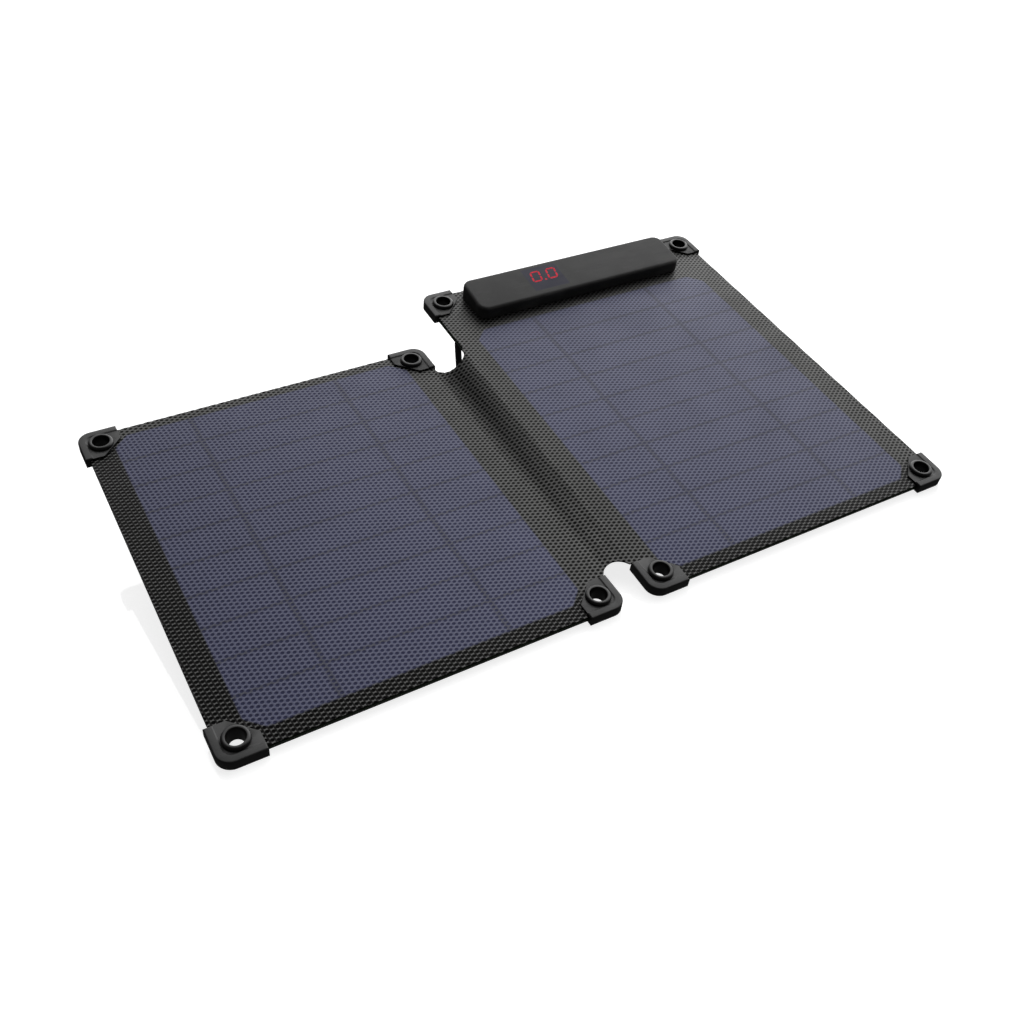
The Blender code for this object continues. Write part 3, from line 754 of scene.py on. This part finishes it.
def web_level(points, depth):
    """The fabric's level: it turns from one leaf's tilt to the other's, with two soft waves."""
    x, y = points[:, 0], points[:, 1]
    t = np.clip((WEB_HALF - x) / (2 * WEB_HALF), 0, 1)
    drop = (y + GUARD_REACH) * math.sin(TILT["right"] - TILT["left"]) * t * t * (3 - 2 * t)
    fade = 1 - (x / WEB_HALF) ** 4
    drift = WEB_DRIFT[0] * np.sin(y / WEB_DRIFT[1])
    wave = WEB_WAVE * np.sin((x + drift + 3.3) * 2 * math.pi / WEB_WAVELENGTH - math.pi / 2) * fade
    return FILM_TOP - drop + wave - depth


def make_web():
    """The fabric between the leaves, bent across the fold, with a round notch at each end."""
    columns = [WEB_HALF * math.sin(math.pi / 2 * (2 * k / WEB_COLUMNS - 1))
               for k in range(WEB_COLUMNS + 1)]
    near = [Vector((x, web_ends(x)[0])) for x in columns]
    far = [Vector((x, web_ends(x)[1])) for x in reversed(columns)]
    web = embossed_sheet("fold_fabric", near + far, [],
                         lambda p: web_level(p, 0.0) + pit_height(p),
                         lambda p: web_level(p, WEB_THICKNESS), LEAF["right"], web_material())
    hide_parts("fold_web")
    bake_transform(web)


# ---------------------------------------------------------------- corners

def guard_outline():
    """The outline of a corner guard around its eyelet."""
    e, side, inner = GUARD_REACH, GUARD_SIDE, GUARD_INNER_EDGE
    return rounded([(e, e, GUARD_CORNER), (e - side, e, 0), (e - side, e - inner, 0),
                    (e - inner, e - side, 0), (e, e - side, 0)], 14)


def guard_mesh():
    """A corner guard about its eyelet's axis, with its outer corner towards +X +Y."""
    body = prism(guard_outline(), GUARD_BOTTOM, GUARD_TOP)
    rim = [e for e in body.edges if min(v.co.z for v in e.verts) > GUARD_TOP - 0.1
           and max(v.co.x for v in e.verts) + max(v.co.y for v in e.verts) > 0
           and any(abs(f.normal.z) < 0.5 for f in e.link_faces)]
    bmesh.ops.bevel(body, geom=rim, offset=GUARD_ROUND, segments=5, affect="EDGES", profile=0.5)
    away, slot = -2 * GUARD_SIDE, SHEET_MARGIN + EASE
    slit = prism(rounded([(slot, slot, SHEET_CORNER), (away, slot, 0), (away, away, 0),
                          (slot, away, 0)], 8), *SLOT)
    recess_loops = []
    for level in (0.0, 2.0):
        spread = (level - GUARD_RECESS_KEY) * GUARD_SLOPE / (GUARD_TOP - GUARD_PLATEAU)
        edge = GUARD_REACH - GUARD_LIP + spread
        loop = rounded([(edge, edge, GUARD_CORNER - GUARD_LIP + level), (away, edge, 0),
                        (away, away, 0), (edge, away, 0)], 10)
        recess_loops.append([(p.x, p.y, GUARD_PLATEAU + level) for p in loop])
    bore = prism(circle(0, 0, GUARD_BORE, 48), GUARD_BOTTOM - 1, 1.0)
    return shaped(body, (slit, loft(recess_loops), bore), GUARD_SOFT)


def eyelet_mesh():
    """A turned eyelet: a tall rounded collar on the front, a tube, and a flange on the back."""
    under, foot = EYELET_FOOT
    base = GUARD_PLATEAU + 0.02
    outer, inner, small = EYELET_OUTER_ROUND, EYELET_INNER_ROUND, EYELET_FOOT_ROUND
    profile = [(EYELET_FLANGE, base)]
    profile += arc((EYELET_FLANGE - outer, -outer), outer, 0, 84, 9)
    profile += arc((EYELET_BORE + inner, -inner), inner, 100, 180, 6)
    profile += arc((EYELET_FOOT_BORE + small, foot + small), small, 180, 270, 3)
    profile += [(EYELET_FOOT_FLANGE - 0.15, foot), (EYELET_FOOT_FLANGE, foot + 0.15),
                (EYELET_FOOT_FLANGE, under), (EYELET_TUBE, under), (EYELET_TUBE, base)]
    return to_mesh(turned(profile, EYELET_STEPS), "eyelet")


def make_corners(mats):
    """A guard and an eyelet on every corner of both leaves."""
    guard, eyelet = guard_mesh(), eyelet_mesh()
    for label in ("left", "right"):
        for corner, x, y, turn in eyelet_places(label):
            add_piece(f"guard_{label}_{corner}", guard.copy(), label, mats["rubber"],
                      [f"{label}_guard_{corner}"], (x, y, 0), turn)
            add_piece(f"eyelet_{label}_{corner}", eyelet.copy(), label, mats["eyelet"],
                      [f"{label}_eyelet_{corner}"], (x, y, 0))


# ---------------------------------------------------------------- controller

def box_top(y, below=0.0):
    """The level of the sloping top at y, or a distance below it."""
    slope = (BOX_TOP[1] - BOX_TOP[0]) / (BOX_Y[1] - BOX_Y[0])
    return BOX_TOP[0] + slope * (y - BOX_Y[0]) - below


def box_loop(inset, level=None, below=0.0):
    """The box's outline drawn in by an inset, at one level or at a distance below the top."""
    loop = rectangle((BOX_X[0] + inset, BOX_X[1] - inset), (BOX_Y[0] + inset, BOX_Y[1] - inset),
                     BOX_CORNER - inset, 12)
    return [(p.x, p.y, box_top(p.y, below) if level is None else level) for p in loop]


def make_cover(mat):
    """The controller's shell, open below, with a hole for each socket in its far wall."""
    loops = [box_loop(0.0, BOX_BOTTOM)]
    for k in range(ROUND_STEPS + 1):
        a = math.pi / 2 * k / ROUND_STEPS
        loops.append(box_loop(BOX_ROUND * (1 - math.cos(a)), below=BOX_ROUND * (1 - math.sin(a))))
    room = loft([box_loop(BOX_WALL, BOX_BOTTOM - 1), box_loop(BOX_WALL, below=BOX_WALL)])
    ports = []
    for middle, width, low, high in PORTS:
        half = width / 2 + EASE
        corner = min(PORT_CORNER, (high - low) / 2.2)
        hole = rectangle((middle - half, middle + half), (low - EASE, high + EASE), corner, 6)
        ports.append(loft([[(p.x, y, p.y) for p in hole] for y in (BOX_Y[1] - 3, BOX_Y[1] + 3)]))
    add_piece("controller_lid", shaped(loft(loops), (room, *ports)), "right", mat,
              ["controller_cover"])


def segment(x0, y0, x1, y1):
    """A thin bar with pointed ends on the box's top, in the digits' slanted frame."""
    run = Vector((x1 - x0, y1 - y0)).normalized()
    across = Vector((-run.y, run.x)) * DIGIT_STROKE / 2
    a, b = Vector((x0, y0)), Vector((x1, y1))
    tip = run * DIGIT_STROKE / 2
    return [a, a + tip - across, b - tip - across, b, b - tip + across, a + tip + across]


def digit_bars(x0):
    """The six lit bars of a zero, as outlines on the box's top."""
    w, h, gap = DIGIT_WIDTH, DIGIT_HEIGHT, DIGIT_GAP
    half = h / 2
    lines = [(gap, 0, w - gap, 0), (gap, h, w - gap, h)]
    for x in (0, w):
        lines += [(x, gap, x, half - gap), (x, half + gap, x, h - gap)]
    return [[Vector((x0 + p.x + p.y * DIGIT_SLANT, DIGIT_BASE + p.y)) for p in segment(*line)]
            for line in lines]


def make_digits(mat):
    """The lit figures 0.0, showing through the lid."""
    outlines = [bar for x0 in DIGIT_PLACES for bar in digit_bars(x0)]
    middle = (DIGIT_PLACES[0] + DIGIT_WIDTH + DIGIT_PLACES[1]) / 2
    outlines.append(circle(middle, DIGIT_BASE, POINT_RADIUS, 16))
    bm = bmesh.new()
    for outline in outlines:
        bar = prism(outline, lambda y: box_top(y, DIGIT_DEPTH), lambda y: box_top(y, -DIGIT_RISE))
        part = to_mesh(bar, "bar")
        bm.from_mesh(part)
        bpy.data.meshes.remove(part)
    add_piece("display_figures", to_mesh(bm, "figures"), "right", mat)


# ---------------------------------------------------------------- stands

def stand_route(x0, x1, leg):
    """The wire's centre line in the stand's plane: inturned end, leg, foot, leg, inturned end."""
    corners = [(x0 + STAND_PIN, 0), (x0, 0), (x0, -leg), (x1, -leg), (x1, 0), (x1 - STAND_PIN, 0)]
    route = [Vector(corners[0])]
    for before, corner, after in zip(corners, corners[1:], corners[2:]):
        c = Vector(corner)
        back, on = (Vector(before) - c).normalized(), (Vector(after) - c).normalized()
        r = STAND_BEND if abs(c.y) > 1 else WIRE + 0.1
        centre = c + (back + on) * r
        for k in range(13):
            a = math.pi / 2 * k / 12
            route.append(centre - on * r * math.cos(a) - back * r * math.sin(a))
    return route + [Vector(corners[-1])]


def tube(points):
    """A closed wire with chamfered ends along points that lie in one upright plane."""
    bm = bmesh.new()
    rings = []
    last = len(points) - 1
    for i, p in enumerate(points):
        ahead = (points[min(i + 1, last)] - points[max(i - 1, 0)]).normalized()
        side = Vector((-ahead.y, ahead.x))
        radius = WIRE * (END_SHRINK if i in (0, last) else 1.0)
        ring = []
        for k in range(WIRE_SIDES):
            a = 2 * math.pi * k / WIRE_SIDES
            flat = p + side * radius * math.cos(a)
            ring.append(bm.verts.new((flat.x, radius * math.sin(a), flat.y)))
        rings.append(ring)
    for one, two in zip(rings, rings[1:]):
        for k in range(WIRE_SIDES):
            bm.faces.new((one[k - 1], one[k], two[k], two[k - 1]))
    bm.faces.new(rings[0])
    bm.faces.new(rings[-1])
    bmesh.ops.recalc_face_normals(bm, faces=bm.faces[:])
    return bm


def make_stand(label, mats):
    """A leaf's wire stand, long enough to reach the floor, and its two clips."""
    x0, x1, y = STAND[label]
    low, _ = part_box(f"{label}_stand")
    pivot = LEAF[label] @ Vector((0, y, PIVOT_Z))
    leg = (pivot.z - low.z) / MM - WIRE
    route = stand_route(x0, x1, leg)
    first, last = route[0], route[-1]
    route = [first, first.lerp(route[1], 0.06)] + route[1:-1] + [last.lerp(route[-2], 0.06), last]
    mesh = to_mesh(tube(route), "stand")
    mesh.transform(Matrix.Translation(pivot) @ Matrix.Scale(MM, 4))
    mesh.shade_smooth()
    mesh.set_sharp_from_angle(angle=math.radians(50))
    mesh.materials.append(mats["stand"])
    wire = link(mesh, f"stand_wire_{label}")
    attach(wire, f"{label}_stand")
    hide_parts(f"{label}_stand")

    w, d = CLIP_WIDTH / 2, CLIP_HALF_DEPTH
    low, high = CLIP_Z
    section = rounded([(-d, high, 0), (-d, low, CLIP_CORNER), (d, low, CLIP_CORNER), (d, high, 0)], 8)
    for name, side in (("a", 1), ("b", -1)):
        block = prism(section, -w, w, [circle(0, PIVOT_Z, CLIP_BORE, 32)])
        block.transform(Matrix(((0, 0, 1, 0), (1, 0, 0, 0), (0, 1, 0, 0), (0, 0, 0, 1))))
        x = (x0 if side > 0 else x1) + side * (STAND_PIN - w - 0.2)
        add_piece(f"clip_{label}_{name}", shaped(block, (), CLIP_SOFT), label, mats["rubber"],
                  [f"{label}_stand_clip_{name}"], (x, y, 0))


# ---------------------------------------------------------------- camera and studio

def make_camera():
    """A camera to the near left, looking down at the panel."""
    look_azimuth, look_down, roll = (math.radians(a) for a in (29.186, 33.541, -1.735))
    place = Vector((-0.19063, -0.34049, 0.24756))
    look = Vector((math.sin(look_azimuth) * math.cos(look_down),
                   math.cos(look_azimuth) * math.cos(look_down), -math.sin(look_down)))
    right = look.cross(Vector((0, 0, 1))).normalized()
    up = right.cross(look)
    right, up = (right * math.cos(roll) + up * math.sin(roll),
                 up * math.cos(roll) - right * math.sin(roll))
    data = bpy.data.cameras.new("camera")
    data.lens, data.sensor_width = 38.47, 36.0
    data.clip_start, data.clip_end = 0.01, 50.0
    camera = bpy.data.objects.new("camera", data)
    bpy.context.scene.collection.objects.link(camera)
    camera.matrix_world = Matrix.Translation(place) @ Matrix((right, up, -look)).transposed().to_4x4()
    bpy.context.scene.camera = camera


def direction(azimuth, elevation):
    """The direction from the object at an azimuth, from +Y towards +X, and an elevation."""
    a, e = math.radians(azimuth), math.radians(elevation)
    return Vector((math.sin(a) * math.cos(e), math.cos(a) * math.cos(e), math.sin(e)))


def make_studio():
    """A dark studio with one broad soft light behind and to the right, over a pale glossy floor."""
    world = bpy.data.worlds.new("studio")
    world.use_nodes = True
    bpy.context.scene.world = world
    bpy.context.scene.view_settings.view_transform = "Standard"
    tree = world.node_tree
    background = tree.nodes["Background"]
    background.inputs["Color"].default_value = (1.0, 1.0, 1.0, 1.0)
    place = tree.nodes.new("ShaderNodeTexCoord")
    toward = tree.nodes.new("ShaderNodeVectorMath")
    toward.operation = "DOT_PRODUCT"
    toward.inputs[1].default_value = direction(*LIGHT_FROM)
    tree.links.new(place.outputs["Generated"], toward.inputs[0])
    span = tree.nodes.new("ShaderNodeMapRange")
    span.inputs["From Min"].default_value = LIGHT_EDGE
    tree.links.new(toward.outputs["Value"], span.inputs["Value"])
    power = tree.nodes.new("ShaderNodeMath")
    power.operation = "POWER"
    power.inputs[1].default_value = LIGHT_FOCUS
    tree.links.new(span.outputs[0], power.inputs[0])
    lit = tree.nodes.new("ShaderNodeMath")
    lit.operation = "MULTIPLY_ADD"
    lit.inputs[1].default_value = LIGHT_PEAK
    lit.inputs[2].default_value = LIGHT_REST
    tree.links.new(power.outputs[0], lit.inputs[0])
    seen = tree.nodes.new("ShaderNodeLightPath")
    choice = tree.nodes.new("ShaderNodeMix")
    choice.inputs[3].default_value = 1.0
    tree.links.new(seen.outputs["Is Camera Ray"], choice.inputs[0])
    tree.links.new(lit.outputs[0], choice.inputs[2])
    tree.links.new(choice.outputs[0], background.inputs["Strength"])

    s = Shader("floor", (0.45, 0.45, 0.45), Roughness=0.03, IOR=1.6, Emission_Strength=0.80)
    s.bsdf.inputs["Emission Color"].default_value = (1.0, 1.0, 1.0, 1.0)
    mesh = bpy.data.meshes.new("floor")
    reach = FLOOR_REACH
    mesh.from_pydata([(-reach, -reach, 0), (reach, -reach, 0), (reach, reach, 0), (-reach, reach, 0)],
                     [], [(0, 1, 2, 3)])
    mesh.materials.append(s.material)
    floor = link(mesh, "floor")
    floor.location.z = -FLOOR_DROP
    floor.visible_diffuse = False
    floor.visible_glossy = False


# ---------------------------------------------------------------- assembly

def main():
    """Builds the panel, its camera, its light and the floor."""
    make_camera()
    make_studio()
    mats = {
        "rubber": moulded_material("guard_rubber", (0.012, 0.012, 0.012), 0.5),
        "eyelet": moulded_material("eyelet_black", (0.003, 0.003, 0.003), 0.30, 900.0, 0.00001),
        "housing": housing_material(),
        "figures": figures_material(),
        "stand": moulded_material("stand_black", (0.012, 0.012, 0.012), 0.42, 1100.0, 0.00002),
    }
    for label in ("left", "right"):
        make_film(label)
        make_stand(label, mats)
    make_web()
    make_corners(mats)
    make_cover(mats["housing"])
    make_digits(mats["figures"])
    dress_nodes(mats)


main()
